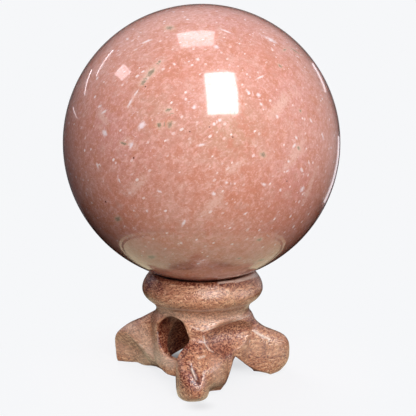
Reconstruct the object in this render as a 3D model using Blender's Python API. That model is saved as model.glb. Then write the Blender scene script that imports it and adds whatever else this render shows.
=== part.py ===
"""A polished feldspar sphere on a small carved hardwood stand with three feet.

Metres, +Z up. The origin is on the floor, under the middle of the sphere. The front
faces -Y. The stand is one piece of wood: a turned collar with a shallow cup, a neck,
and a carved foot ring that is hollow underneath, with one round hole through its wall.
"""

import math

import bmesh
import bpy
from mathutils import Matrix, Vector

MM = 0.001

# The stone
SPHERE_RADIUS = 35.0 * MM
SPHERE_HEIGHT = 60.8 * MM  # of its centre above the floor
SPHERE_SEGMENTS = 60
SPHERE_RINGS = 30
STONE_COLOUR = (0.65, 0.30, 0.22)
STONE_ROUGHNESS = 0.12

# The cup that holds it
CUP_GAP = 0.3 * MM
CUP_RADIUS = SPHERE_RADIUS + CUP_GAP
CUP_MOUTH = 12.2 * MM  # radius where the cup meets the lip
CUP_STEPS = 8

# Turned outline, radius and height in mm: up the wall, over the ridge, along the neck to the crease
WALL_OUTLINE = (
    (12.6, -2.0),
    (12.6, 4.0),
    (12.9, 11.0),
    (13.3, 15.4),
    (12.2, 16.9),
    (12.0, 18.5),
    (12.95, 20.0),
)
# From the crease round the bead to the lip
BEAD_OUTLINE = (
    (12.95, 20.0),
    (14.3, 20.9),
    (15.2, 21.9),
    (15.7, 23.3),
    (15.2, 25.2),
    (14.3, 26.6),
    (13.5, 27.6),
    (12.9, 28.0),
)
TURNED_SEGMENTS = 96
CURVE_STEPS = 3

# Each foot, from the middle outwards, in mm: x, y, top, half width, underside
FRONT_FOOT = (
    (0.8, -3.0, 17.0, 6.8, -4.0),
    (0.9, -9.5, 16.6, 6.8, -4.0),
    (0.9, -11.4, 15.0, 6.8, -4.0),
    (1.0, -12.8, 11.6, 6.5, -3.0),
    (1.0, -13.8, 9.4, 5.7, -1.8),
    (1.2, -14.8, 7.4, 4.2, -0.2),
)
FRONT_TOE = (
    (-1.8, -10.0, 14.6, 3.8, -4.0),
    (-2.3, -13.2, 12.8, 4.2, -4.0),
    (-2.6, -16.0, 10.9, 4.3, -2.4),
    (-2.5, -19.0, 9.5, 4.2, -1.4),
    (-2.2, -21.2, 8.3, 3.8, -0.6),
    (-1.9, -22.8, 7.0, 3.0, 0.1),
    (-1.6, -24.1, 5.4, 2.0, 1.0),
    (-1.5, -24.9, 3.8, 1.2, 1.6),
)
# The slope that joins the toe's side to the front foot, clear of the floor
FRONT_SLOPE = (
    (0.9, -10.5, 12.6, 5.6, -2.0),
    (0.6, -14.5, 10.6, 5.6, 0.8),
    (0.2, -17.5, 9.6, 4.5, 2.2),
    (-0.4, -20.0, 8.6, 3.2, 3.4),
    (-1.0, -22.0, 7.6, 1.8, 4.6),
)
RIGHT_FOOT = (
    (4.0, 0.4, 17.5, 6.8, -4.0),
    (10.0, 1.2, 16.0, 6.7, -4.0),
    (12.6, 1.8, 15.3, 6.3, -4.0),
    (14.4, 2.2, 13.2, 5.8, -4.0),
    (16.4, 2.9, 11.6, 5.4, -1.6),
    (18.2, 3.9, 10.7, 5.0, -0.6),
    (19.7, 5.0, 9.8, 4.4, 0.6),
    (20.7, 5.9, 8.5, 3.6, 1.8),
    (21.4, 6.4, 6.8, 2.4, 3.0),
)
LEFT_FOOT = (
    (-4.0, 2.1, 17.5, 6.8, -4.0),
    (-8.8, 4.7, 16.6, 6.9, -4.0),
    (-11.3, 6.0, 16.2, 6.8, -4.0),
    (-13.8, 7.3, 14.5, 6.5, -4.0),
    (-16.6, 8.8, 12.6, 6.2, -4.0),
    (-19.2, 10.1, 11.2, 6.0, -4.0),
    (-21.4, 11.2, 9.2, 5.6, -3.5),
    (-22.8, 11.9, 6.6, 4.2, -1.5),
)
FOOT_SIDES = 28
FOOT_SQUARENESS = 3.4  # 2 is round, higher is squarer

# The domed hollow underneath
HOLLOW_CENTRE = (0.0, 0.0, 2.2)
HOLLOW_HALF = (10.9, 10.9, 15.2)

# The round hole, level, through the wall into the hollow
HOLE_RADIUS = 5.45 * MM
HOLE_HEIGHT = 12.3 * MM
HOLE_AZIMUTH = -130
HOLE_REACH = (3 * MM, 27 * MM)  # from and to, along its azimuth
HOLE_SEGMENTS = 40

# Arches under the wall: azimuth, reach from and to, then sideways and height, in degrees and mm
BACK_ARCH = (
    *(82, 3, 30),
    ((-12.5, -2.0), (-10.0, 1.6), (-5.0, 4.4), (0.0, 5.2), (6.0, 3.8), (10.0, 2.2), (12.5, -2.0)),
)
LEFT_ARCH = (
    *(-156, 5, 18),
    ((-9.0, -2.0), (-7.0, 1.4), (0.0, 2.2), (7.0, 2.3), (10.0, -2.0)),
)

# The gap between the front and right feet: x and height at its front end and at its back end
RIGHT_GAP_ENDS = (-30.0, 1.0)
RIGHT_GAP = (
    ((3.8, 3.8), (4.2, -7.0)),
    ((4.5, 6.1), (5.0, -4.5)),
    ((5.5, 7.3), (6.0, -3.2)),
    ((6.2, 9.1), (6.8, -1.2)),
    ((6.9, 11.6), (7.6, 1.5)),
    ((7.6, 14.1), (8.3, 4.3)),
    ((8.9, 12.8), (9.7, 2.9)),
    ((10.4, 11.6), (11.4, 1.5)),
    ((11.7, 10.8), (12.9, 0.6)),
    ((13.2, 10.2), (14.5, 0.0)),
    ((15.7, 9.7), (17.2, -0.6)),
    ((17.2, 8.0), (18.9, -2.4)),
    ((17.2, -4.0), (18.9, -12.0)),
    ((3.8, -4.0), (4.2, -12.0)),
)

# The undercut along the left foot: points on its crease, in its belly and on the floor, in mm
LEFT_UNDERCUT = (
    ((-9.0, -7.5, 2.2), (-9.0, 0.5, 1.2), (-9.0, 9.6, -1.5)),
    ((-13.2, -1.0, 4.2), (-13.4, 2.4, 1.6), (-14.0, 10.0, -1.5)),
    ((-16.2, 1.6, 6.5), (-16.5, 6.2, 4.4), (-18.2, 10.4, -1.5)),
    ((-19.6, 4.2, 9.2), (-19.9, 7.6, 5.4), (-22.0, 10.9, -1.5)),
    ((-25.0, 8.0, 13.2), (-25.0, 10.4, 6.5), (-25.0, 11.6, -1.5)),
)
UNDERCUT_REACH = (0.0, -12.0, 0.0)

# Scoops: centre and half lengths in mm, azimuth and tilt in degrees
RIGHT_SCOOP = ((10.3, -14.5, 13.3), (8.2, 11.6, 4.8), -54, 0)
BACK_SCOOP = ((2.5, 19.5, 9.5), (10.5, 7.5, 6.0), 0, 0)
TOE_GROOVE = ((-1.6, -22.3, 7.8), (4.7, 1.0, 1.6), -58, -38)
SCOOP_DETAIL = 4

# How finely the carved form is blended, and what share of its faces is kept
BLEND_VOXEL = 0.5 * MM
BLEND_PASSES = 4
CARVED_VOXEL = 0.36 * MM
WORN_PASSES = 3
SMOOTHING = 0.5
KEPT_SHARE = 0.056
SAWN_SPARE = 0.5 * MM  # wood left under the soles until the last cut
BLOCK = (80 * MM, 80 * MM, 12 * MM)
WOOD_COLOUR = (0.45, 0.21, 0.11)
WOOD_ROUGHNESS = 0.3


def new_object(name, build):
    """An object whose mesh is made by build, with its faces turned outwards."""
    mesh = bpy.data.meshes.new(name)
    bm = bmesh.new()
    build(bm)
    bmesh.ops.recalc_face_normals(bm, faces=bm.faces)
    bm.to_mesh(mesh)
    bm.free()
    obj = bpy.data.objects.new(name, mesh)
    bpy.context.scene.collection.objects.link(obj)
    return obj


def new_cutter(name, build):
    cutter = new_object(name, build)
    cutter.hide_render = True
    cutter.display_type = "WIRE"
    return cutter


def facing(azimuth):
    """Turns a shape drawn towards +X to the azimuth in degrees."""
    return Matrix.Rotation(math.radians(azimuth), 4, "Z")


def smooth_curve(points, steps):
    """A curve through the points, rounded between them (Catmull-Rom)."""
    padded = [Vector(point) for point in (points[0], *points, points[-1])]
    curve = []
    for a, b, c, d in zip(padded, padded[1:], padded[2:], padded[3:]):
        for i in range(steps):
            t = i / steps
            bend = (2 * a - 5 * b + 4 * c - d) * t**2 + (3 * b - a - 3 * c + d) * t**3
            curve.append((2 * b + (c - a) * t + bend) / 2)
    curve.append(padded[-1])
    return curve


def add_rings(bm, rings):
    """Skins the closed rings in order and fills the first and the last."""
    rows = [[bm.verts.new(point) for point in ring] for ring in rings]
    for lower, upper in zip(rows, rows[1:]):
        for i in range(len(lower)):
            j = (i + 1) % len(lower)
            bm.faces.new((lower[i], lower[j], upper[j], upper[i]))
    bm.faces.new(rows[0][::-1])
    bm.faces.new(rows[-1])


def add_turned(bm, profile, segments):
    """Turns the outline of radii and heights, whose last point is on the axis."""
    rings = []
    for radius, height in profile[:-1]:
        angles = [2 * math.pi * i / segments for i in range(segments)]
        rings.append([bm.verts.new((radius * math.cos(a), radius * math.sin(a), height)) for a in angles])
    tip = bm.verts.new((0, 0, profile[-1][1]))
    bm.faces.new(rings[0][::-1])
    for i in range(segments):
        j = (i + 1) % segments
        bm.faces.new((rings[-1][i], rings[-1][j], tip))
        for lower, upper in zip(rings, rings[1:]):
            bm.faces.new((lower[i], lower[j], upper[j], upper[i]))


def turned_profile():
    """Up the wall, over the ridge, the neck and the bead, and down into the cup."""
    outline = smooth_curve(WALL_OUTLINE, CURVE_STEPS)[:-1] + smooth_curve(BEAD_OUTLINE, CURVE_STEPS)
    profile = [(radius * MM, height * MM) for radius, height in outline]
    for i in range(CUP_STEPS, -1, -1):
        radius = CUP_MOUTH * i / CUP_STEPS
        profile.append((radius, SPHERE_HEIGHT - math.sqrt(CUP_RADIUS**2 - radius**2)))
    return profile


def squared(value):
    """Pushes a cosine or sine outwards, which turns a circle into a rounded square."""
    return math.copysign(abs(value) ** (2 / FOOT_SQUARENESS), value)


def foot_rings(sections):
    """Rounded-square rings across a foot, one at each of its sections."""
    centres = [Vector((x, y, 0)) for x, y, _, _, _ in sections]
    rings = []
    for i, (_, _, top, half_width, underside) in enumerate(sections):
        forward = centres[min(i + 1, len(centres) - 1)] - centres[max(i - 1, 0)]
        across = Vector((-forward.y, forward.x, 0)).normalized() * half_width
        middle = centres[i] + Vector((0, 0, (top + underside) / 2))
        upward = Vector((0, 0, (top - underside) / 2))
        ring = []
        for k in range(FOOT_SIDES):
            angle = 2 * math.pi * k / FOOT_SIDES
            sideways = across * squared(math.cos(angle))
            ring.append((middle + sideways + upward * squared(math.sin(angle))) * MM)
        rings.append(ring)
    return rings


def make_blank():
    """The uncut wood: the turned body and its feet, blended softly into one form."""

    def build(bm):
        add_turned(bm, turned_profile(), TURNED_SEGMENTS)
        for sections in (FRONT_FOOT, FRONT_TOE, FRONT_SLOPE, RIGHT_FOOT, LEFT_FOOT):
            add_rings(bm, foot_rings(sections))

    blank = new_object("wooden_stand", build)
    blend(blank, "one_piece", BLEND_VOXEL, BLEND_PASSES)
    return blank


def blend(obj, name, voxel, passes):
    """Fuses what overlaps, then softens it."""
    remesh = obj.modifiers.new(name, "REMESH")
    remesh.mode = "VOXEL"
    remesh.voxel_size = voxel
    smooth = obj.modifiers.new(name + "_softened", "SMOOTH")
    smooth.factor = SMOOTHING
    smooth.iterations = passes


def make_floor_cutter(name, top):
    """A block whose upper face, at height top, saws the feet off flat."""

    def build(bm):
        bmesh.ops.create_cube(bm, size=1)
        bmesh.ops.scale(bm, vec=BLOCK, verts=bm.verts)
        bmesh.ops.translate(bm, vec=(0, 0, top - BLOCK[2] / 2), verts=bm.verts)

    return new_cutter(name, build)


def make_scoop(name, centre, half_lengths, azimuth, tilt):
    """A rounded cutter, turned to the azimuth with its outer end tilted up."""

    def build(bm):
        bmesh.ops.create_icosphere(bm, subdivisions=SCOOP_DETAIL, radius=1)
        place = (
            Matrix.Translation(Vector(centre) * MM)
            @ facing(azimuth)
            @ Matrix.Rotation(-math.radians(tilt), 4, "Y")
            @ Matrix.Diagonal((*(Vector(half_lengths) * MM), 1))
        )
        bmesh.ops.transform(bm, matrix=place, verts=bm.verts)

    return new_cutter(name, build)


def make_hole():
    """The drilled hole, from outside the wall into the hollow."""
    start, end = HOLE_REACH

    def build(bm):
        bmesh.ops.create_cone(
            bm,
            cap_ends=True,
            segments=HOLE_SEGMENTS,
            radius1=HOLE_RADIUS,
            radius2=HOLE_RADIUS,
            depth=end - start,
        )
        place = (
            facing(HOLE_AZIMUTH)
            @ Matrix.Translation(((start + end) / 2, 0, HOLE_HEIGHT))
            @ Matrix.Rotation(math.pi / 2, 4, "Y")
        )
        bmesh.ops.transform(bm, matrix=place, verts=bm.verts)

    return new_cutter("drilled_hole", build)


def make_arch(name, azimuth, start, end, outline):
    """A straight cutter with the arch's outline, along the azimuth."""

    def build(bm):
        rings = []
        for reach in (start, end):
            rings.append([facing(azimuth) @ Vector((reach, side, height)) * MM for side, height in outline])
        add_rings(bm, rings)

    return new_cutter(name, build)


def make_right_gap():
    """The gap between the front and right feet, which drops and widens towards the back."""

    def build(bm):
        rings = []
        for end, y in enumerate(RIGHT_GAP_ENDS):
            rings.append([Vector((corner[end][0], y, corner[end][1])) * MM for corner in RIGHT_GAP])
        add_rings(bm, rings)

    return new_cutter("right_gap", build)


def make_undercut():
    """Takes away the wood between the crease along the left foot and the floor."""
    reach = Vector(UNDERCUT_REACH)

    def build(bm):
        rings = []
        for crease, belly, low in LEFT_UNDERCUT:
            outside = (Vector(low) + 2 * reach, Vector(crease) + reach)
            rings.append([Vector(point) * MM for point in (crease, belly, low, *outside)])
        add_rings(bm, rings)

    return new_cutter("left_undercut", build)


def cut(obj, cutter):
    boolean = obj.modifiers.new(cutter.name, "BOOLEAN")
    boolean.operation = "DIFFERENCE"
    boolean.object = cutter


def make_stand():
    stand = make_blank()
    cut(stand, make_floor_cutter("rough_floor", -SAWN_SPARE))
    cut(stand, make_scoop("hollow", HOLLOW_CENTRE, HOLLOW_HALF, 0, 0))
    cut(stand, make_hole())
    cut(stand, make_right_gap())
    cut(stand, make_arch("back_arch", *BACK_ARCH))
    cut(stand, make_arch("left_arch", *LEFT_ARCH))
    cut(stand, make_undercut())
    cut(stand, make_scoop("right_scoop", *RIGHT_SCOOP))
    cut(stand, make_scoop("back_scoop", *BACK_SCOOP))
    cut(stand, make_scoop("toe_groove", *TOE_GROOVE))
    blend(stand, "worn_edges", CARVED_VOXEL, WORN_PASSES)
    fewer = stand.modifiers.new("fewer_faces", "DECIMATE")
    fewer.ratio = KEPT_SHARE
    cut(stand, make_floor_cutter("sawn_soles", 0))
    stand.data.materials.append(make_material("lacquered_wood", WOOD_COLOUR, WOOD_ROUGHNESS))
    return stand


def make_sphere():
    def build(bm):
        bmesh.ops.create_uvsphere(
            bm,
            u_segments=SPHERE_SEGMENTS,
            v_segments=SPHERE_RINGS,
            radius=SPHERE_RADIUS,
        )
        bmesh.ops.translate(bm, vec=(0, 0, SPHERE_HEIGHT), verts=bm.verts)

    sphere = new_object("feldspar_sphere", build)
    sphere.data.shade_smooth()
    sphere.data.materials.append(make_material("peach_feldspar", STONE_COLOUR, STONE_ROUGHNESS))
    return sphere


def make_material(name, colour, roughness):
    material = bpy.data.materials.new(name)
    material.use_nodes = True
    shader = material.node_tree.nodes["Principled BSDF"]
    shader.inputs["Base Color"].default_value = (*colour, 1)
    shader.inputs["Roughness"].default_value = roughness
    shader.inputs["Metallic"].default_value = 0
    return material


def main():
    for obj in list(bpy.data.objects):
        bpy.data.objects.remove(obj, do_unlink=True)
    make_sphere()
    make_stand()


if __name__ == "__main__":
    main()
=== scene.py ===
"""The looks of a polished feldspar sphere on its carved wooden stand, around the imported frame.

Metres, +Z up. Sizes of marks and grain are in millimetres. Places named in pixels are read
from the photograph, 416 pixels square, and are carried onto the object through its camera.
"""

import math

import bpy
import numpy as np
from mathutils import Matrix, Vector


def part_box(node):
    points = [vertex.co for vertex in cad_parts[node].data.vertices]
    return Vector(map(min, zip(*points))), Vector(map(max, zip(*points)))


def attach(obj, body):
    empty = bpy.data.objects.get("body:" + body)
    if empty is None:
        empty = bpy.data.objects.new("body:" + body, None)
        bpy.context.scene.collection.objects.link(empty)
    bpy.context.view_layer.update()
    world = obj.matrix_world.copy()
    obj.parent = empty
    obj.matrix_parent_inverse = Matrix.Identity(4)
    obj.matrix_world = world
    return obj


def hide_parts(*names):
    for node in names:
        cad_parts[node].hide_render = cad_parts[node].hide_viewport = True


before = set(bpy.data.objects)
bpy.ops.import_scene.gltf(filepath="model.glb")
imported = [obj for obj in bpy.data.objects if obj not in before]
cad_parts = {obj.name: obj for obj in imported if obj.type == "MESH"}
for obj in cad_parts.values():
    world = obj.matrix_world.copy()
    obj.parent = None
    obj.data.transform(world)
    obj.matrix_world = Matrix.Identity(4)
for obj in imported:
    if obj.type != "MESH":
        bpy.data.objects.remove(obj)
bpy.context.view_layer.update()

MM = 0.001

# The sphere, from the frame
sphere_low, sphere_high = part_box("feldspar_sphere")
SPHERE_CENTRE = (sphere_low + sphere_high) / 2
SPHERE_RADIUS = (sphere_high.x - sphere_low.x) / 2

# The photograph's camera, fitted to the sphere's outline and the stand's feet
PHOTO_SIZE = 416
SPHERE_PIXEL = (201.6, 143.4)  # the sphere's centre
SPHERE_PIXELS = 138.7  # its radius
CAMERA_DISTANCE = 0.35
CAMERA_ELEVATION = math.radians(8.8)
CAMERA_ROLL = math.radians(0.35)
CAMERA_NEAR = 0.01
SENSOR = 36

# The stone's mesh, six curved grids
STONE_GRID = 126
STONE_WOBBLE = 0.03 * MM  # how far a hand-polished sphere strays from a true one
STONE_WAVES = ((5, 2, -3), (-2, 6, 4), (3, -4, 7))  # the directions and counts of its low swells

# The stand's mesh
STAND_VOXEL = 0.28 * MM
STAND_PASSES = 6
SMOOTHING = 0.5  # how far one pass moves a vertex to its neighbours' middle


class Camera:
    """The photograph's camera: where it stands, where it looks, and the ray through each pixel."""

    def __init__(self):
        tilt = CAMERA_ELEVATION
        ahead = Vector((0, math.cos(tilt), -math.sin(tilt)))
        right = Vector((1, 0, 0))
        up = right.cross(ahead)
        self.eye = SPHERE_CENTRE - ahead * CAMERA_DISTANCE
        self.focal = SPHERE_PIXELS * math.sqrt(CAMERA_DISTANCE**2 - SPHERE_RADIUS**2) / SPHERE_RADIUS
        half = PHOTO_SIZE / 2
        across = (SPHERE_PIXEL[0] - half) / self.focal
        down = (SPHERE_PIXEL[1] - half) / self.focal
        ray = Vector((across, -down, 1)).normalized()
        pitch = Matrix.Rotation(-math.atan2(ray.y, ray.z), 3, right)
        yaw = Matrix.Rotation(math.atan2(ray.x, math.hypot(ray.y, ray.z)), 3, pitch @ up)
        turn = Matrix.Rotation(CAMERA_ROLL, 3, ahead) @ yaw @ pitch
        self.right, self.up, self.ahead = turn @ right, turn @ up, turn @ ahead

    def ray(self, pixel):
        half = PHOTO_SIZE / 2
        x = (pixel[0] - half) / self.focal
        y = (pixel[1] - half) / self.focal
        return (self.ahead + self.right * x - self.up * y).normalized()

    def on_sphere(self, pixel):
        """The outward direction from the sphere's centre to the point seen at the pixel."""
        ray = self.ray(pixel)
        to_centre = SPHERE_CENTRE - self.eye
        along = to_centre.dot(ray)
        miss = (to_centre - ray * along).length
        inside = max(SPHERE_RADIUS**2 - miss**2, 0)
        return (self.eye + ray * (along - math.sqrt(inside)) - SPHERE_CENTRE).normalized()

    def mirrored(self, pixel, distance):
        """The point at that distance which the polished sphere reflects at the pixel."""
        out = self.on_sphere(pixel)
        ray = self.ray(pixel)
        away = ray - out * (2 * ray.dot(out))
        return SPHERE_CENTRE + out * SPHERE_RADIUS + away * distance

    def pixels_of(self, points):
        """Where the points are in the picture, across and down, and how far ahead of the camera."""
        away = points - np.array(self.eye)
        depth = away @ np.array(self.ahead)
        across = PHOTO_SIZE / 2 + self.focal * (away @ np.array(self.right)) / depth
        down = PHOTO_SIZE / 2 - self.focal * (away @ np.array(self.up)) / depth
        return across, down, depth

    def make(self):
        data = bpy.data.cameras.new("camera")
        data.sensor_width = SENSOR
        data.lens = self.focal / PHOTO_SIZE * SENSOR
        data.clip_start = CAMERA_NEAR
        obj = bpy.data.objects.new("camera", data)
        turn = Matrix((self.right, self.up, -self.ahead)).transposed()
        obj.matrix_world = Matrix.Translation(self.eye) @ turn.to_4x4()
        bpy.context.scene.collection.objects.link(obj)
        bpy.context.scene.camera = obj


camera = Camera()


class Nodes:
    """Short ways to add nodes to a material or a world."""

    def __init__(self, owner):
        owner.use_nodes = True
        self.tree = owner.node_tree
        self.tree.nodes.clear()

    def add(self, kind, inputs=None, **settings):
        node = self.tree.nodes.new(kind)
        for name, value in settings.items():
            setattr(node, name, value)
        for name, value in (inputs or {}).items():
            if value is not None:
                self.put(node.inputs[name], value)
        return node

    def put(self, socket, value):
        if isinstance(value, bpy.types.NodeSocket):
            self.tree.links.new(value, socket)
        else:
            socket.default_value = value

    def math(self, operation, a, b=None, clamp=False):
        return self.add("ShaderNodeMath", {0: a, 1: b}, operation=operation, use_clamp=clamp).outputs[0]

    def vector(self, operation, a, b=None, scale=None, output=0):
        inputs = {0: a, 1: b, "Scale": scale}
        return self.add("ShaderNodeVectorMath", inputs, operation=operation).outputs[output]

    def mix(self, factor, a, b, blend="MIX"):
        node = self.add("ShaderNodeMix", data_type="RGBA", blend_type=blend)
        self.put(node.inputs["Factor"], factor)
        self.put(node.inputs[6], a)
        self.put(node.inputs[7], b)
        return node.outputs[2]

    def step(self, value, start, end, low=0.0, high=1.0):
        """Smoothly from low, where value is start, to high, where it is end."""
        inputs = {"Value": value, "From Min": start, "From Max": end, "To Min": low, "To Max": high}
        return self.add("ShaderNodeMapRange", inputs, interpolation_type="SMOOTHSTEP").outputs[0]

    def tint(self, base, value, start, end, most, shade):
        """The base, turning to the shade by up to most as the value goes from start to end."""
        return self.mix(self.step(value, start, end, 0, most), base, shade)

    def noise(self, place, scale, detail=3.0, roughness=0.5, output="Fac"):
        inputs = {"Vector": place, "Scale": scale, "Detail": detail, "Roughness": roughness}
        return self.add("ShaderNodeTexNoise", inputs).outputs[output]

    def cells(self, place, scale, output="Distance"):
        return self.add("ShaderNodeTexVoronoi", {"Vector": place, "Scale": scale}).outputs[output]

    def stretch(self, place, turn, scale):
        """The place turned, in degrees, and then scaled along each axis."""
        rotation = [math.radians(angle) for angle in turn]
        turned = self.add("ShaderNodeMapping", {"Vector": place, "Rotation": rotation})
        return self.vector("MULTIPLY", turned.outputs[0], scale)

    def split(self, vector):
        return self.add("ShaderNodeSeparateXYZ", {0: vector}).outputs

    def attribute(self, name, output="Vector"):
        return self.add("ShaderNodeAttribute", attribute_name=name).outputs[output]

    def in_mm(self):
        """The place on the object, in millimetres."""
        place = self.add("ShaderNodeTexCoord").outputs["Object"]
        return self.vector("SCALE", place, scale=1 / MM)


def colour(red, green, blue):
    """A colour for a socket, from its 0 to 255 screen values by the sRGB curve."""
    linear = []
    for level in (red, green, blue):
        share = level / 255
        linear.append(((share + 0.055) / 1.055) ** 2.4 if level > 10 else share / 12.92)
    return (*linear, 1)


def link(obj):
    bpy.context.scene.collection.objects.link(obj)
    return obj


# Marks in the stone. Each runs from one pixel to another and has a width in mm.
PALE_MARKS = (
    ((126.5, 38.6), (128.3, 39.4), 0.5),
    ((143.5, 42.5), (151.0, 39.6), 0.7),
    ((186.2, 19.0), (188.6, 19.6), 0.5),
    ((214.8, 45.8), (218.2, 47.6), 0.9),
    ((222.0, 29.4), (230.5, 33.0), 0.5),
    ((266.3, 37.2), (275.5, 42.4), 1.2),
    ((196.2, 59.0), (199.0, 59.8), 0.7),
    ((173.2, 63.6), (175.4, 64.4), 0.5),
    ((257.0, 79.0), (263.6, 75.4), 0.35),
    ((247.6, 91.4), (249.8, 93.2), 0.5),
    ((257.4, 93.6), (260.2, 96.2), 0.8),
    ((260.2, 103.0), (262.2, 105.0), 0.5),
    ((103.6, 131.0), (106.0, 134.6), 1.3),
    ((139.6, 128.4), (143.6, 122.4), 1.2),
    ((127.6, 107.2), (131.8, 99.4), 0.4),
    ((135.4, 94.0), (138.4, 89.6), 0.3),
    ((96.6, 163.2), (98.2, 167.6), 0.5),
    ((198.0, 145.4), (204.6, 144.2), 0.5),
    ((225.4, 182.2), (227.8, 183.0), 0.5),
    ((233.8, 183.6), (235.6, 183.6), 0.4),
    ((300.8, 190.8), (304.2, 187.2), 1.0),
    ((212.2, 193.4), (215.4, 194.2), 0.8),
    ((322.4, 133.0), (323.4, 138.8), 0.4),
    ((301.0, 168.2), (302.6, 171.6), 0.6),
    ((308.6, 160.8), (309.6, 164.2), 0.4),
    ((288.0, 160.6), (289.2, 162.6), 0.5),
    ((262.4, 183.6), (265.6, 185.4), 0.6),
    ((146.4, 210.0), (147.6, 212.0), 0.5),
    ((182.2, 225.6), (184.8, 220.4), 0.5),
    ((180.0, 242.6), (182.0, 243.4), 0.5),
    ((231.0, 244.6), (233.6, 244.0), 0.5),
    ((213.2, 124.6), (215.0, 123.2), 0.6),
    ((218.6, 120.6), (221.0, 119.8), 0.6),
    ((276.4, 115.6), (278.4, 117.4), 0.6),
    ((98.0, 107.2), (101.0, 105.8), 0.5),
    ((102.0, 113.0), (106.4, 110.6), 0.5),
    ((130.0, 148.0), (132.4, 142.6), 0.6),
    ((118.0, 178.0), (120.0, 182.0), 0.4),
    ((157.6, 190.6), (161.4, 192.6), 0.5),
    ((193.0, 106.4), (195.0, 108.0), 0.7),
    ((185.0, 98.6), (186.6, 99.6), 0.5),
    ((188.0, 62.0), (190.0, 61.0), 0.3),
    ((244.0, 214.6), (247.0, 212.6), 0.4),
    ((286.0, 172.0), (288.6, 170.4), 0.4),
    ((295.6, 136.6), (297.2, 139.0), 0.5),
    ((310.0, 119.0), (312.0, 122.0), 0.5),
    ((280.0, 189.0), (280.8, 191.0), 0.5),
    ((293.0, 147.4), (295.6, 143.8), 0.5),
)
GREY_MARKS = (
    ((167.0, 27.0), (172.2, 28.4), 1.1),
    ((141.6, 84.0), (145.2, 80.2), 0.8),
    ((148.0, 75.4), (153.4, 69.6), 1.0),
    ((158.6, 62.4), (160.6, 60.8), 0.5),
    ((157.8, 125.0), (160.2, 125.8), 0.9),
    ((168.2, 123.4), (171.6, 125.2), 1.0),
    ((166.6, 110.4), (170.6, 109.4), 0.5),
    ((121.6, 142.8), (126.0, 144.2), 0.5),
    ((261.4, 154.0), (265.0, 156.0), 0.9),
    ((279.0, 64.8), (281.4, 67.0), 0.5),
    ((291.6, 48.6), (298.6, 53.0), 0.5),
    ((212.4, 81.6), (214.8, 80.8), 0.5),
    ((233.4, 114.0), (235.6, 111.0), 0.6),
    ((299.6, 109.8), (301.2, 111.8), 0.5),
    ((297.6, 147.4), (300.0, 149.2), 0.6),
    ((257.6, 240.8), (261.2, 238.8), 0.9),
    ((258.4, 260.8), (263.8, 259.6), 1.0),
    ((149.0, 258.0), (153.8, 256.6), 1.1),
    ((116.0, 220.0), (119.6, 218.0), 0.9),
    ((238.0, 258.6), (241.0, 258.0), 0.5),
    ((283.6, 50.4), (286.0, 49.0), 0.4),
)
RUST_MARKS = (
    ((133.2, 157.6), (134.0, 158.4), 0.45),
    ((189.4, 131.4), (190.0, 131.8), 0.35),
    ((105.0, 201.4), (106.2, 202.2), 0.5),
    ((209.0, 126.8), (209.8, 127.2), 0.3),
    ((232.4, 136.8), (233.2, 137.2), 0.3),
    ((144.8, 86.4), (146.0, 86.8), 0.35),
    ((286.4, 181.0), (287.4, 181.4), 0.35),
)
# Soft pale streaks and clouds
HAZE_MARKS = (
    ((225.0, 173.0), (245.0, 160.0), 1.8),
    ((128.0, 108.0), (137.0, 91.0), 1.0),
    ((164.0, 60.0), (140.0, 84.0), 2.6),
    ((163.0, 108.0), (177.0, 112.0), 2.0),
    ((286.0, 168.0), (303.0, 141.0), 2.4),
    ((268.0, 118.0), (290.0, 94.0), 2.4),
    ((205.0, 215.0), (222.0, 192.0), 2.6),
    ((128.0, 195.0), (146.0, 176.0), 2.2),
    ((302.0, 205.0), (315.0, 170.0), 1.6),
    ((126.0, 137.0), (138.0, 150.0), 1.6),
    ((98.0, 110.0), (108.0, 125.0), 1.8),
)
MARK_EDGE = 3.0  # how far out a mark's own coordinates reach, in its half widths
MARK_MARGIN = 1.3 * MM  # and at least this far past its edge
HIDDEN_MARKS = 1.7  # marks on the side the photograph doesn't show, for each one that it does
HIDDEN_EDGE = 0.05  # and how far these may come round to its own side
MARK_SEED = 7

# Broad zones of the stone's colour: pixel, radius in mm, and how much pinker, more orange and more beige
ZONES = (
    ((136, 148), 9, (0.9, 0.0, 0.0)),
    ((104, 118), 8, (0.8, 0.0, 0.0)),
    ((300, 186), 6, (0.6, 0.0, 0.0)),
    ((190, 110), 9, (0.6, 0.0, 0.0)),
    ((292, 92), 9, (0.6, 0.0, 0.0)),
    ((232, 20), 8, (0.8, 0.0, 0.0)),
    ((292, 182), 9, (0.5, 0.0, 0.0)),
    ((176, 68), 8, (0.0, 0.8, 0.0)),
    ((112, 84), 7, (0.0, 0.6, 0.0)),
    ((262, 62), 9, (0.0, 0.5, 0.0)),
    ((236, 192), 9, (0.0, 0.8, 0.0)),
    ((124, 210), 9, (0.0, 0.9, 0.0)),
    ((286, 220), 9, (0.0, 0.6, 0.0)),
    ((238, 128), 8, (0.0, 0.0, 0.9)),
    ((152, 112), 6, (0.0, 0.0, 0.7)),
    ((208, 140), 7, (0.0, 0.0, 0.4)),
    ((160, 160), 9, (0.0, 0.3, 0.2)),
    ((196, 240), 12, (0.0, 0.2, 0.6)),
)


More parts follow.
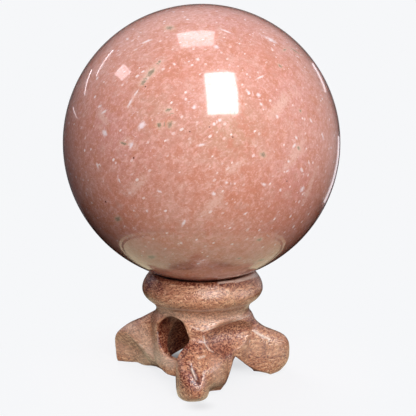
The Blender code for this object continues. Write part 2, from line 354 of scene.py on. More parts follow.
def cube_sphere(grid):
    """A sphere's vertices and faces from six curved grids, so that all faces are about as large."""
    angles = np.linspace(-math.pi / 4, math.pi / 4, grid + 1)
    across, up = np.meshgrid(np.tan(angles), np.tan(angles), indexing="ij")
    ahead = np.ones_like(across)
    sides = []
    for axis in range(3):
        for sign in (-1, 1):
            corner = [None] * 3
            corner[axis] = ahead * sign
            corner[(axis + 1) % 3] = across * sign
            corner[(axis + 2) % 3] = up
            sides.append(np.stack(corner, -1).reshape(-1, 3))
    points = np.concatenate(sides)
    points /= np.linalg.norm(points, axis=1, keepdims=True)
    _, first, same = np.unique(np.round(points, 7), axis=0, return_index=True, return_inverse=True)
    row = np.arange(grid)
    i, j = np.meshgrid(row, row, indexing="ij")
    start = (i * (grid + 1) + j).reshape(-1)
    quad = np.stack([start, start + grid + 1, start + grid + 2, start + 1], -1)
    faces = np.concatenate([quad + side * (grid + 1) ** 2 for side in range(6)])
    return points[first], same.reshape(-1)[faces]


def mark_frames(marks, hidden, draw):
    """Each mark's centre, directions and half sizes, with more of their like on the hidden side."""
    frames = []
    for start, end, width in marks:
        a, b = camera.on_sphere(start), camera.on_sphere(end)
        frames.append((a, b, width * MM / 2))
    towards = (camera.eye - SPHERE_CENTRE).normalized()
    for _ in range(round(len(marks) * hidden)):
        spot = Vector(draw.normal(size=3)).normalized()
        while spot.dot(towards) > HIDDEN_EDGE:
            spot = Vector(draw.normal(size=3)).normalized()
        a, b, half = frames[draw.integers(len(marks))]
        turn = (a + b).normalized().rotation_difference(spot)
        frames.append((turn @ a, turn @ b, half))
    made = []
    for a, b, half in frames:
        centre = (a + b).normalized()
        long = b - a
        half_length = max(long.length * SPHERE_RADIUS / 2, half)
        long = (long - centre * long.dot(centre)).normalized()
        made.append((centre, long, centre.cross(long), half_length, half))
    return made


def mark_coordinates(directions, frames):
    """For each vertex, its place in the nearest mark (1 at the mark's edge) and whether one is near."""
    best = np.full(len(directions), np.inf)
    found = np.zeros((len(directions), 3))
    for centre, long, wide, half_length, half in frames:
        away = (directions - np.array(centre)) * SPHERE_RADIUS
        u = away @ np.array(long) / half_length
        v = away @ np.array(wide) / half
        reach = np.hypot(u * half_length, v * half)
        inside = np.hypot(u, v)
        near = reach < max(half_length, half) * MARK_EDGE + MARK_MARGIN
        take = near & (directions @ np.array(centre) > 0) & (inside < best)
        best[take] = inside[take]
        found[take] = np.stack([u, v, np.ones_like(u)], -1)[take]
    return found


def zone_amounts(directions):
    """For each vertex, how much pinker, more orange and more beige it is."""
    found = np.zeros((len(directions), 3))
    for pixel, radius, amounts in ZONES:
        away = directions - np.array(camera.on_sphere(pixel))
        near = np.exp(-((np.linalg.norm(away, axis=1) * SPHERE_RADIUS / (radius * MM)) ** 2))
        found += near[:, None] * np.array(amounts)
    return found


def add_attribute(mesh, name, values):
    attribute = mesh.attributes.new(name, "FLOAT_VECTOR", "POINT")
    attribute.data.foreach_set("vector", values.astype(np.float32).ravel())


def make_stone():
    directions, faces = cube_sphere(STONE_GRID)
    swells = sum(np.sin(directions @ np.array(wave)) for wave in STONE_WAVES) / len(STONE_WAVES)
    radius = SPHERE_RADIUS - STONE_WOBBLE * (0.5 + 0.5 * swells)
    points = directions * radius[:, None] + np.array(SPHERE_CENTRE)
    mesh = bpy.data.meshes.new("polished_stone")
    mesh.from_pydata(points.tolist(), [], faces.tolist())
    draw = np.random.default_rng(MARK_SEED)
    tables = {"pale": PALE_MARKS, "grey": GREY_MARKS, "rust": RUST_MARKS, "haze": HAZE_MARKS}
    for name, marks in tables.items():
        frames = mark_frames(marks, HIDDEN_MARKS, draw)
        add_attribute(mesh, name, mark_coordinates(directions, frames))
    add_attribute(mesh, "zone", zone_amounts(directions))
    mesh.shade_smooth()
    stone = link(bpy.data.objects.new("polished_stone", mesh))
    mesh.materials.append(feldspar())
    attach(stone, "root")
    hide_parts("feldspar_sphere")


STONE = {
    "ground": colour(218, 154, 134),
    "pale ground": colour(226, 168, 153),
    "pink": colour(224, 160, 154),
    "orange": colour(222, 136, 104),
    "beige": colour(206, 158, 130),
    "warm patch": colour(214, 144, 119),
    "pale patch": colour(224, 172, 156),
    "pale clump": colour(242, 190, 178),
    "deep clump": colour(204, 130, 104),
    "pale grain": colour(250, 212, 202),
    "deep grain": colour(198, 126, 102),
    "pale dot": colour(252, 220, 210),
    "deep dot": colour(176, 100, 78),
    "haze": colour(242, 204, 190),
    "speck": colour(255, 236, 234),
    "dust": colour(128, 74, 60),
    "grey edge": colour(236, 200, 176),
    "grey": colour(122, 120, 96),
    "flake": colour(255, 240, 242),
    "rust": colour(96, 36, 32),
}
CLEAVAGE_TURN = (0, 42, 12)  # the lie of the crystals, in degrees
CLEAVAGE_SCALE = (0.85, 1.35, 1.35)  # longer one way than across
SPECK_SCALE = 0.6  # specks to a millimetre


def feldspar():
    """Salmon-pink feldspar under a mirror polish."""
    material = bpy.data.materials.new("feldspar")
    n = Nodes(material)
    place = n.in_mm()
    cleavage = n.stretch(place, CLEAVAGE_TURN, CLEAVAGE_SCALE)

    # Broad mottling, and the zones where it leans to pink, orange or beige
    broad = n.noise(place, scale=0.07, detail=4, roughness=0.6)
    middle = n.noise(place, scale=0.35, detail=5, roughness=0.62)
    clumps = n.noise(cleavage, scale=0.75, detail=3, roughness=0.6)
    fine = n.noise(place, scale=1.7, detail=3, roughness=0.75)
    grain = n.noise(cleavage, scale=1.9, detail=3, roughness=0.7)
    pinker, oranger, beiger = n.split(n.attribute("zone"))[:3]
    pinker = n.math("MULTIPLY", pinker, n.step(middle, 0.3, 0.7, 0.35, 0.9), clamp=True)
    oranger = n.math("MULTIPLY", oranger, n.step(middle, 0.3, 0.7, 0.3, 0.9), clamp=True)
    beiger = n.math("MULTIPLY", beiger, n.step(middle, 0.7, 0.3, 0.3, 0.9), clamp=True)
    base = n.tint(STONE["ground"], broad, 0.35, 0.65, 1, STONE["pale ground"])
    base = n.mix(pinker, base, STONE["pink"])
    base = n.mix(oranger, base, STONE["orange"])
    base = n.mix(beiger, base, STONE["beige"])
    base = n.tint(base, middle, 0.50, 0.62, 0.85, STONE["warm patch"])
    base = n.tint(base, middle, 0.46, 0.36, 0.5, STONE["pale patch"])
    base = n.tint(base, clumps, 0.52, 0.64, 0.5, STONE["pale clump"])
    base = n.tint(base, clumps, 0.46, 0.34, 0.35, STONE["deep clump"])

    # The crystalline texture: oblique grains and fine dots, lighter and darker
    base = n.tint(base, grain, 0.56, 0.66, 0.42, STONE["pale grain"])
    base = n.tint(base, grain, 0.44, 0.33, 0.35, STONE["deep grain"])
    base = n.tint(base, fine, 0.57, 0.68, 0.5, STONE["pale dot"])
    base = n.tint(base, fine, 0.43, 0.31, 0.4, STONE["deep dot"])

    ragged = n.noise(place, scale=2.0, detail=3, roughness=0.65, output="Color")
    ragged = n.vector("SUBTRACT", ragged, (0.5, 0.5, 0.5))

    def marked(name, start, end, most=1.0, rough=1.6):
        """Up to most inside the marks of that name, with ragged edges, and 0 away from them."""
        parts = n.attribute(name)
        near = n.step(n.split(parts)[2], 0.5, 0.95, 0, most)
        bent = n.vector("ADD", parts, n.vector("SCALE", ragged, scale=rough))
        flat = n.vector("MULTIPLY", bent, (1, 1, 0))
        distance = n.vector("LENGTH", flat, output="Value")
        return n.math("MULTIPLY", n.step(distance, end, start), near)

    haze = n.math("MULTIPLY", marked("haze", 0.1, 1.7, rough=2.6), n.step(grain, 0.3, 0.6, 0.2, 0.75))
    base = n.mix(haze, base, STONE["haze"])

    # Tiny pale and dark specks everywhere
    speck_place = n.vector("ADD", cleavage, n.vector("SCALE", ragged, scale=0.5))
    cell = n.cells(speck_place, SPECK_SCALE)
    chance = n.split(n.cells(speck_place, SPECK_SCALE, output="Color"))
    size = n.step(chance[0], 0.3, 1.0, 0.0, 0.24)
    speck = n.step(n.math("SUBTRACT", cell, size), 0.06, -0.03)
    speck = n.math("MULTIPLY", speck, n.step(chance[1], 0.0, 1.0, 0.4, 1.0))
    base = n.mix(speck, base, STONE["speck"])
    dust = n.step(n.cells(place, 1.3), 0.14, 0.05)
    dust = n.math("MULTIPLY", dust, n.step(n.noise(place, scale=0.25, detail=2), 0.45, 0.7, 0, 0.6))
    base = n.mix(dust, base, STONE["dust"])

    # The marks that are placed one by one
    base = n.mix(marked("grey", 0.9, 3.0, 0.6, 3.4), base, STONE["grey edge"])
    base = n.mix(marked("grey", 0.2, 1.8, 0.8, 3.4), base, STONE["grey"])
    base = n.mix(marked("pale", 0.2, 1.9, 0.9, 2.4), base, STONE["flake"])
    base = n.mix(marked("rust", 0.6, 1.3), base, STONE["rust"])

    relief = n.add("ShaderNodeBump", {"Height": fine, "Strength": 0.06, "Distance": 0.0002})
    shader = n.add(
        "ShaderNodeBsdfPrincipled",
        {
            "Base Color": base,
            "Roughness": n.step(fine, 0.3, 0.7, 0.17, 0.25),
            "IOR": 1.53,
            "Specular IOR Level": 0.3,
            "Subsurface Weight": 0.15,
            "Subsurface Radius": (1.0, 0.5, 0.35),
            "Subsurface Scale": 0.0008,
            "Coat Weight": 1.0,
            "Coat Roughness": 0.02,
            "Coat IOR": 1.5,
            "Normal": relief.outputs[0],
        },
    )
    n.add("ShaderNodeOutputMaterial", {"Surface": shader.outputs[0]})
    return material


# Painted shade in the hole, the toe's groove, the creases and on the ring's upper left under the sphere,
# and, on the front leg, darker, redder wood with painted shade: pixel, reach in mm and how much
SHADE_AND_STAIN_SPOTS = (
    ((150, 281), 2.6, 1.0),
    ((147, 288), 2.2, 0.5),
    ((160, 287), 2.6, 0.55),
    ((198.5, 383), 0.6, 1.6),
    ((194, 374), 0.6, 0.7),
    ((190, 366), 0.6, 0.5),
    ((199, 393), 0.8, 0.45),
    ((188, 380), 3.6, 0.85),
    ((197, 346), 3.0, 0.6),
    ((186, 362), 2.4, 0.5),
    ((206, 340), 2.6, 0.4),
    ((216, 346), 2.2, 0.35),
    ((227, 356), 0.8, 0.7),
    ((221, 355), 0.8, 0.5),
    ((228, 337), 2.4, 0.3),
    ((256, 322), 1.6, 0.4),
    ((265, 350), 0.6, 0.4),
    ((265, 358), 0.7, 0.4),
    ((255, 364), 2.0, 0.3),
    ((212, 312), 3.0, 0.1),
    ((232, 313), 3.0, 0.1),
    ((178, 328), 4.5, 0.8),
    ((176, 345), 4.0, 1.0),
)

# The round hole at the left as the camera sees it: its centre and half sizes in pixels, its lean, and
# the depths from which and to which the cut runs, in mm along Y
HOLE_PIXEL = (174.3, 338.8)
HOLE_SIZE = (15.4, 21.6)
HOLE_LEAN = math.radians(-7)
HOLE_DEPTHS = (-26.0, -15.0)
HOLE_SIDES = 40

# The right foot's slanted lower edge, as two pixels: nothing of the foot shows under it
FOOT_EDGE = ((234.5, 355.8), (253.0, 369.5))

# A valley beside the hole that is nearly flat on the real stand: its pixels, its reach in mm, the
# passes that smooth it, and the closeness to it from which they work
VALLEY = ((153, 318), (153.5, 327), (154, 336), (155, 345), (157, 353), (160, 360))
VALLEY_REACH = 1.5
VALLEY_PASSES = 160
VALLEY_LEAST = 0.02


def per_vertex(mesh, name):
    """The vertices' places, named co, or their normals, named normal."""
    vectors = np.empty(len(mesh.vertices) * 3)
    mesh.vertices.foreach_get(name, vectors)
    return vectors.reshape(-1, 3)


def make_hole_cutter():
    """A round taper along the line of sight, from one depth to the other."""
    rings = []
    for depth in HOLE_DEPTHS:
        ring = []
        for i in range(HOLE_SIDES):
            angle = 2 * math.pi * i / HOLE_SIDES
            x, y = HOLE_SIZE[0] * math.cos(angle), HOLE_SIZE[1] * math.sin(angle)
            spot = (
                HOLE_PIXEL[0] + x * math.cos(HOLE_LEAN) - y * math.sin(HOLE_LEAN),
                HOLE_PIXEL[1] + x * math.sin(HOLE_LEAN) + y * math.cos(HOLE_LEAN),
            )
            ray = camera.ray(spot)
            ring.append(camera.eye + ray * ((depth * MM - camera.eye.y) / ray.y))
        rings += ring
    faces = [tuple(range(HOLE_SIDES - 1, -1, -1)), tuple(range(HOLE_SIDES, 2 * HOLE_SIDES))]
    for i in range(HOLE_SIDES):
        j = (i + 1) % HOLE_SIDES
        faces.append((i, j, HOLE_SIDES + j, HOLE_SIDES + i))
    mesh = bpy.data.meshes.new("hole_cutter")
    mesh.from_pydata(rings, [], faces)
    return link(bpy.data.objects.new("hole_cutter", mesh))


def closeness(stand, pixel, reach):
    """From 1, where the camera sees the stand at the pixel, down to 0 past the reach."""
    hit, place, _, _ = stand.ray_cast(camera.eye, camera.ray(pixel))
    if not hit:
        return 0.0
    away = np.linalg.norm(per_vertex(stand.data, "co") - np.array(place), axis=1) / (reach * MM)
    return np.exp(-(away**2))


def apply_modifiers(obj):
    """Turns what the modifiers make into the object's own mesh."""
    graph = bpy.context.evaluated_depsgraph_get()
    mesh = bpy.data.meshes.new_from_object(obj.evaluated_get(graph))
    obj.modifiers.clear()
    obj.data = mesh
    bpy.context.view_layer.update()


def trim_foot(mesh):
    """Lifts what hangs under the right foot's lower edge."""
    points = per_vertex(mesh, "co")
    across, down, depth = camera.pixels_of(points)
    (left, top), (right, bottom) = FOOT_EDGE
    under = down - (top + (across - left) * (bottom - top) / (right - left))
    lifted = (across > left) & (across < right) & (under > 0)
    points[lifted, 2] += (under * depth)[lifted] / camera.focal
    mesh.vertices.foreach_set("co", points.ravel())
    mesh.update()


def flatten_valley(stand):
    """Smooths the valley away."""
    near = np.max([closeness(stand, pixel, VALLEY_REACH) for pixel in VALLEY], axis=0)
    group = stand.vertex_groups.new(name="valley")
    for i in np.flatnonzero(near > VALLEY_LEAST):
        group.add([int(i)], float(near[i]), "REPLACE")
    flatten = stand.modifiers.new("flatten", "SMOOTH")
    flatten.factor = SMOOTHING
    flatten.iterations = VALLEY_PASSES
    flatten.vertex_group = "valley"
    apply_modifiers(stand)


# Areas of painted shade in the hole, the toe's groove, the crease under the arch and on the left foot, and
# in the scoop below the ridge, where the wood is also darker: their corners in pixels and how dark
SHADE_AND_STAIN_AREAS = (
    (((190, 328), (203, 333), (225, 326), (240, 321), (250, 317), (255, 323), (240, 334), (232, 344),
      (230, 353), (222, 356), (213, 352), (207, 347), (204, 337)), 0.5),
    (((188.5, 363.5), (192, 366), (197, 374), (200.5, 382), (198.5, 385.5), (194, 380), (190, 371)), 1.1),
    (((219, 353), (233, 354), (232, 358), (221, 358)), 0.6),
    (((181, 352), (189, 341), (189, 347), (186, 353), (183, 358)), 1.0),
    (((157, 338), (158.5, 328), (164, 320), (170, 318), (169, 328), (168, 338), (170, 349), (173, 357),
      (166, 353), (160, 346)), 0.95),
    (((118, 333), (127, 337), (139, 346), (144, 357), (150, 363), (118, 362), (114, 350)), 0.1),
)
# Lines and bands of painted shade, then of painted highlights and painted light: pixels along them, half
# width in pixels, and how dark or pale
# Painted shade: the sphere's contact shadow on the ring's top, the neck's cove, the ledge and the crease on
# the right foot, and the toe's cleft
PAINTED_SHADE_LINES = (
    (((152, 276), (165, 281), (200, 285), (235, 284.5), (251, 281)), 2.2, 0.5),
    (((157, 312), (180, 315.5), (205, 316.5), (230, 314.5), (250, 310)), 2.0, 0.15),
    (((243, 356), (252, 357.5), (262, 357), (272, 358), (285, 356)), 0.8, 0.6),
    (((265, 343), (264, 352), (265.5, 361)), 1.2, 0.45),
    (((197, 384), (199.5, 392), (199, 401)), 1.5, 0.5),
)
# Painted highlights and painted light: glints on the ridge, the creases, the hole's rim, the toe and the
# right foot, the lit crescent between the sphere and the ring, and wide pale bands that lighten the neck,
# the left foot and the legs
PAINTED_LIGHT_LINES = (
    (((155, 306.5), (175, 309.5), (200, 311), (225, 309.5), (247, 305)), 0.9, 0.35),
    (((190, 326), (203, 331), (225, 324), (240, 319), (250, 315)), 0.6, 0.45),
    (((203.7, 336), (205, 344), (208.6, 349), (213, 352)), 0.6, 0.65),
    (((139.4, 344), (143, 347)), 0.8, 0.6),
    (((157.5, 332), (157.8, 345), (159, 352)), 0.7, 0.3),
    (((219, 282.6), (236, 280.6), (247, 277.2), (256, 274.0)), 1.3, 1.0),
    (((191.5, 369), (196, 379.5)), 0.7, 0.9),
    (((254, 331), (260, 335), (266, 338), (269, 338.5), (269, 341)), 0.9, 0.85),
    (((199, 358), (204, 356.5)), 1.2, 0.5),
    (((236, 281.2), (247, 278.2), (256.5, 275.2)), 1.6, 1.0),
    (((160, 312), (185, 318), (215, 319), (240, 314)), 4.5, 0.16),
    (((128, 326), (141, 334), (150, 348)), 7.0, 0.22),
    (((148, 350), (159, 357), (171, 364)), 5.0, 0.34),
    (((119, 347), (130, 352), (142, 358)), 6.0, 0.14),
    (((214, 362), (218, 378)), 6.0, 0.12),
    (((250, 347), (265, 350), (280, 352)), 8.0, 0.1),
)
AREA_EDGE = 1.5  # how far an area fades out past its outline, in pixels
LINE_EDGE = 1.5  # where a line is gone, in its half widths


def distance_to_line(spots, line):
    """How far each spot is from a line through points, in pixels."""
    best = np.full(len(spots), np.inf)
    for start, end in zip(np.array(line[:-1], float), np.array(line[1:], float)):
        along = np.clip((spots - start) @ (end - start) / ((end - start) @ (end - start)), 0, 1)
        best = np.minimum(best, np.linalg.norm(spots - start - along[:, None] * (end - start), axis=1))
    return best


def inside_area(spots, corners):
    """Whether each spot is inside the outline."""
    inside = np.zeros(len(spots), bool)
    x, y = spots.T
    for (x0, y0), (x1, y1) in zip(corners, corners[1:] + corners[:1]):
        if y0 != y1:
            inside ^= ((y0 > y) != (y1 > y)) & (x < x0 + (x1 - x0) * (y - y0) / (y1 - y0))
    return inside


def wood_marks(stand):
    """How much painted shade, with darker wood in places, and how much painted light each vertex takes,
    where the camera sees it.
    """
    mesh = stand.data
    points = per_vertex(mesh, "co")
    across, down, _ = camera.pixels_of(points)
    spots = np.stack([across, down], -1)
    facing = np.sum(per_vertex(mesh, "normal") * (points - np.array(camera.eye)), axis=1) < 0
    shade_and_stain = np.zeros(len(points))
    pale = np.zeros(len(points))
    for corners, amount in SHADE_AND_STAIN_AREAS:
        edge = distance_to_line(spots, (*corners, corners[0]))
        soft = np.where(inside_area(spots, corners), 1.0, np.clip(1 - edge / AREA_EDGE, 0, 1))
        shade_and_stain = np.maximum(shade_and_stain, amount * soft * facing)
    for found, lines in ((shade_and_stain, PAINTED_SHADE_LINES), (pale, PAINTED_LIGHT_LINES)):
        for line, half, amount in lines:
            soft = np.clip(LINE_EDGE - distance_to_line(spots, line) / half, 0, 1)
            found[:] = np.maximum(found, amount * soft * facing)
    for pixel, reach, amount in SHADE_AND_STAIN_SPOTS:
        shade_and_stain = np.maximum(shade_and_stain, amount * closeness(stand, pixel, reach))
    return shade_and_stain, pale


def make_stand():
    """The carved wood, with the frame's facets rounded away."""
    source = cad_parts["wooden_stand"]
    stand = link(bpy.data.objects.new("carved_stand", source.data.copy()))
    cutter = make_hole_cutter()
    hole = stand.modifiers.new("hole", "BOOLEAN")
    hole.operation = "DIFFERENCE"
    hole.object = cutter
    remesh = stand.modifiers.new("fine", "REMESH")
    remesh.mode = "VOXEL"
    remesh.voxel_size = STAND_VOXEL
    smooth = stand.modifiers.new("rounded", "SMOOTH")
    smooth.factor = SMOOTHING
    smooth.iterations = STAND_PASSES
    apply_modifiers(stand)
    bpy.data.objects.remove(cutter)
    flatten_valley(stand)
    trim_foot(stand.data)
    mesh = stand.data
    # The wood's painted shade and painted light, kept as vertex marks
    for name, amounts in zip(("shade_and_stain", "pale"), wood_marks(stand)):
        mark = mesh.attributes.new(name, "FLOAT", "POINT")
        mark.data.foreach_set("value", amounts.astype(np.float32))
    mesh.shade_smooth()
    mesh.materials.clear()
    mesh.materials.append(lacquered_wood())
    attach(stand, "root")
    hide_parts("wooden_stand")


WOOD = {
    "ground": colour(220, 164, 126),
    "deep ground": colour(206, 144, 108),
    "growth line": colour(164, 98, 68),
    "pale fibre": colour(246, 204, 166),
    "deep fibre": colour(164, 98, 70),
    "dash": colour(132, 68, 44),
    "pore": colour(108, 50, 34),
    # The colours of the painted shade, deepest in the hole and the grooves, and of the painted light
    "shade_and_stain": colour(156, 84, 70),
    "deepest_shade": colour(58, 16, 10),
    "painted_light": colour(250, 232, 216),
}
GRAIN_SWAY = 4.0  # how far the grain wanders, in mm
PITH = (22, 0, -60)  # a place on the trunk's middle, in mm
PITH_LINE = (1, 0.08, 1)  # the trunk runs nearly along Y
GROWTH_RATE = 6.0  # of the growth lines, in radians to a millimetre
FIBRE_SCALE = (0.8, 0.4, 1.8)
DASH_SCALE = (2.0, 1.3, 2.9)
PORE_STRETCH = (1.0, 0.25, 1.4)
PORE_SCALE = 1.8


def lacquered_wood():
    """Reddish-tan hardwood, its grain along Y, with open pores under gloss lacquer."""
    material = bpy.data.materials.new("lacquered_wood")
    n = Nodes(material)
    place = n.in_mm()
    sway = n.vector("SUBTRACT", n.noise(place, scale=0.13, detail=3, output="Color"), (0.5, 0.5, 0.5))
    bent = n.vector("ADD", place, n.vector("SCALE", sway, scale=GRAIN_SWAY))

    # Growth lines round the pith, seen as wavy lines, and the fibres and dashes along them
    from_pith = n.vector("MULTIPLY", n.vector("SUBTRACT", bent, PITH), PITH_LINE)
    from_pith = n.vector("LENGTH", from_pith, output="Value")
    growth = n.math("SINE", n.math("MULTIPLY", from_pith, GROWTH_RATE))
    fibre = n.noise(n.stretch(bent, (0, 0, 0), FIBRE_SCALE), scale=1.0, detail=3, roughness=0.6)
    dashes = n.noise(n.stretch(bent, (0, 6, 0), DASH_SCALE), scale=1.0, detail=2, roughness=0.6)
    patch = n.noise(place, scale=0.14, detail=3)
    base = n.tint(WOOD["ground"], patch, 0.35, 0.65, 1, WOOD["deep ground"])
    base = n.tint(base, growth, 0.0, 1.0, 0.5, WOOD["growth line"])
    base = n.tint(base, fibre, 0.52, 0.66, 0.8, WOOD["pale fibre"])
    base = n.tint(base, fibre, 0.48, 0.36, 0.6, WOOD["deep fibre"])
    base = n.tint(base, dashes, 0.48, 0.38, 0.85, WOOD["dash"])

    # Pores: dots where the grain is cut across, short streaks along it
    pore_place = n.stretch(bent, (0, 0, 0), PORE_STRETCH)
    pore = n.step(n.cells(pore_place, PORE_SCALE), 0.42, 0.18)
    chance = n.split(n.cells(pore_place, PORE_SCALE, output="Color"))
    pore = n.math("MULTIPLY", pore, n.step(chance[0], 0.3, 0.9, 0.0, 0.9))
    base = n.mix(pore, base, WOOD["pore"])

    # Painted shade, with darker wood in places, deepest in the hole and the grooves; then painted highlights
    # and painted light
    mark = n.attribute("shade_and_stain", output="Fac")
    shade_and_stain = n.math("MULTIPLY", mark, n.step(dashes, 0.58, 0.44, 0.35, 1.8), clamp=True)
    base = n.mix(shade_and_stain, base, n.mix(1.0, base, WOOD["shade_and_stain"], blend="MULTIPLY"))
    base = n.tint(base, mark, 0.8, 1.4, 0.9, WOOD["deepest_shade"])
    base = n.mix(n.attribute("pale", output="Fac"), base, WOOD["painted_light"])

    height = n.math("SUBTRACT", n.math("MULTIPLY", dashes, 0.8), n.math("MULTIPLY", pore, 0.4))
    relief = n.add("ShaderNodeBump", {"Height": height, "Strength": 0.8, "Distance": 0.0003})
    ripple = n.noise(place, scale=3.2, detail=2)
    height = n.math("ADD", height, n.math("MULTIPLY", ripple, 0.6))
    film = n.add("ShaderNodeBump", {"Height": height, "Strength": 1.0, "Distance": 0.00014})
    shader = n.add(
        "ShaderNodeBsdfPrincipled",
        {
            "Base Color": base,
            "Roughness": n.step(fibre, 0.3, 0.7, 0.5, 0.36),
            "IOR": 1.5,
            "Coat Weight": 1.0,
            "Coat Roughness": 0.07,
            "Coat IOR": 1.5,
            "Normal": relief.outputs[0],
            "Coat Normal": film.outputs[0],
        },
    )
    n.add("ShaderNodeOutputMaterial", {"Surface": shader.outputs[0]})
    return material


# What the polished stone reflects: the pixels of each panel's outline, and its brightness
PANEL_DISTANCE = 0.6  # of the panels from the stone's surface, in metres
KEY_TINT = (0.72, 0.92, 1.0)
PANEL_TINT = (1.0, 0.93, 1.0)
KEY_PANEL = ((204.0, 73.7), (234.0, 72.7), (238.4, 113.8), (207.8, 114.8))
KEY_STRENGTH = 13.0
KEY_HALO = 1.3  # how many times as large as the panel its soft halo is
KEY_HALO_STRENGTH = 3.0  # beside the panel
SMALL_PANELS = (
    (((176.3, 34.0), (214.9, 31.0), (213.6, 46.0), (181.0, 48.8)), 5.2),
    (((123.7, 63.7), (131.7, 71.7), (122.3, 81.3), (114.0, 73.7)), 5.0),
    (((112.6, 49.8), (113.4, 50.4), (96.4, 76.2), (95.6, 75.8)), 5.0),
    (((91.2, 69.6), (92.0, 69.8), (84.9, 94.8), (84.1, 94.6)), 4.5),
    (((91.4, 87.8), (92.0, 88.0), (90.2, 95.9), (89.6, 95.7)), 1.6),
    (((84.2, 105.0), (84.8, 105.0), (85.0, 109.6), (84.4, 109.6)), 1.4),
    (((90.2, 105.0), (90.9, 105.0), (91.0, 110.0), (90.3, 110.0)), 1.2),
    (((72.7, 107.1), (73.5, 106.9), (77.9, 118.1), (77.1, 118.3)), 2.4),
    (((311.4, 63.4), (312.8, 62.6), (326.6, 91.8), (324.6, 92.4)), 1.6),
    (((337.6, 136.0), (339.3, 136.0), (325.0, 203.0), (323.2, 202.0)), 1.2),
)


def glow(name, tint, strength):
    """A material that shines evenly."""
    material = bpy.data.materials.new(name)
    n = Nodes(material)
    light = n.add("ShaderNodeEmission", {"Color": (*tint, 1), "Strength": strength})
    n.add("ShaderNodeOutputMaterial", {"Surface": light.outputs[0]})
    return material


def stage_piece(name, points, faces, material):
    """A piece of the surroundings, which isn't part of the object."""
    mesh = bpy.data.meshes.new(name)
    mesh.from_pydata(points, [], faces)
    mesh.materials.append(material)
    piece = link(bpy.data.objects.new(name, mesh))
    return piece


def only_reflected(piece):
    """Hides a piece from the camera and keeps it from lighting or shading, so only gloss shows it."""
    piece.visible_camera = False
    piece.visible_diffuse = False
    piece.visible_shadow = False


def make_halo():
    """A frame round the key panel, whose glow fades outwards."""
    middle = np.mean(KEY_PANEL, axis=0)
    outer = [middle + (np.array(corner) - middle) * KEY_HALO for corner in KEY_PANEL]
    corners = [camera.mirrored(pixel, PANEL_DISTANCE) for pixel in (*KEY_PANEL, *outer)]
    faces = [(i, (i + 1) % 4, 4 + (i + 1) % 4, 4 + i) for i in range(4)]
    material = bpy.data.materials.new("halo")
    n = Nodes(material)
    inside = n.attribute("inside", output="Fac")
    strength = n.math("MULTIPLY", n.math("MULTIPLY", inside, inside), KEY_HALO_STRENGTH)
    light = n.add("ShaderNodeEmission", {"Color": (*PANEL_TINT, 1), "Strength": strength})
    n.add("ShaderNodeOutputMaterial", {"Surface": light.outputs[0]})
    halo = stage_piece("halo", corners, faces, material)
    amount = halo.data.attributes.new("inside", "FLOAT", "POINT")
    amount.data.foreach_set("value", [1.0] * 4 + [0.0] * 4)
    only_reflected(halo)


def make_panels():
    """The bright shapes that the stone's polish shows."""
    panels = [(KEY_PANEL, KEY_STRENGTH, KEY_TINT)]
    panels += [(outline, strength, PANEL_TINT) for outline, strength in SMALL_PANELS]
    for i, (outline, strength, tint) in enumerate(panels):
        corners = [camera.mirrored(pixel, PANEL_DISTANCE) for pixel in outline]
        panel = stage_piece(f"panel_{i}", corners, [(0, 1, 2, 3)], glow(f"panel_{i}", tint, strength))
        only_reflected(panel)


# The floor, and the plate on it that only reflections show
FLOOR_SIZE = 6.0  # half its width, in metres
FLOOR_COLOUR = (0.922, 0.930, 0.947)
FLOOR_LIT = 0.12  # the share of the floor's brightness near the stand that takes shadows
FLOOR_LIT_REACH = (25, 60)  # where that share starts to fade and where it is gone, in mm
FLOOR_SHADES = (  # the soft shade under the stand: x, y and reach in mm, and how dark
    (-1.0, -25.5, 5.0, 0.16),
    (-7.0, 13.5, 12.5, 0.85),
    (9.0, 8.0, 9.0, 0.22),
)
PLATE_RADIUS = 53.5  # in mm
PLATE_HEIGHT = 0.2 * MM
PLATE_INNER = (13, 19)  # where the plate comes out of the stand's shadow, in mm
PLATE_TINT = (1.0, 0.87, 0.60, 1)
PLATE_STRENGTH = 0.75
PLATE_RINGS = ((46.4, 48.4), (50.8, 53.5))  # the dark rings of its double rim, from and to, in mm
PLATE_SIDES = 96
GLOW_TINT = (1.0, 0.82, 0.68, 1)  # the floor in front of the plate
GLOW_STRENGTH = 0.6
GLOW_REACH = 130.0  # from the middle, in mm
GLOW_FRONT = (-0.35, -0.95)  # from what share of straight forward it starts, and is full
BACKDROP_REACH = FLOOR_SIZE * 0.9
BACKDROP_HEIGHT = FLOOR_SIZE * 0.6
BACKDROP_SIDES = 48


def pale_floor():
    """An even, pale floor of its own brightness, with soft shade and a little shadow under the stand."""
    material = bpy.data.materials.new("pale_floor")
    n = Nodes(material)
    place = n.in_mm()
    reach = n.vector("LENGTH", place, output="Value")
    own_light = n.step(reach, *FLOOR_LIT_REACH, 1 - FLOOR_LIT, 1.0)
    strength = 1.0
    for x, y, size, depth in FLOOR_SHADES:
        away = n.vector("LENGTH", n.vector("SUBTRACT", place, (x, y, 0)), output="Value")
        strength = n.math("MULTIPLY", n.step(away, 0, size, 1 - depth, 1), strength)
    light = n.add("ShaderNodeEmission", {"Color": (*FLOOR_COLOUR, 1), "Strength": strength})
    lit = n.add("ShaderNodeBsdfDiffuse", {"Color": (1.0, 1.0, 1.0, 1)})
    both = n.add("ShaderNodeMixShader", {0: own_light, 1: lit.outputs[0], 2: light.outputs[0]})
    n.add("ShaderNodeOutputMaterial", {"Surface": both.outputs[0]})
    return material


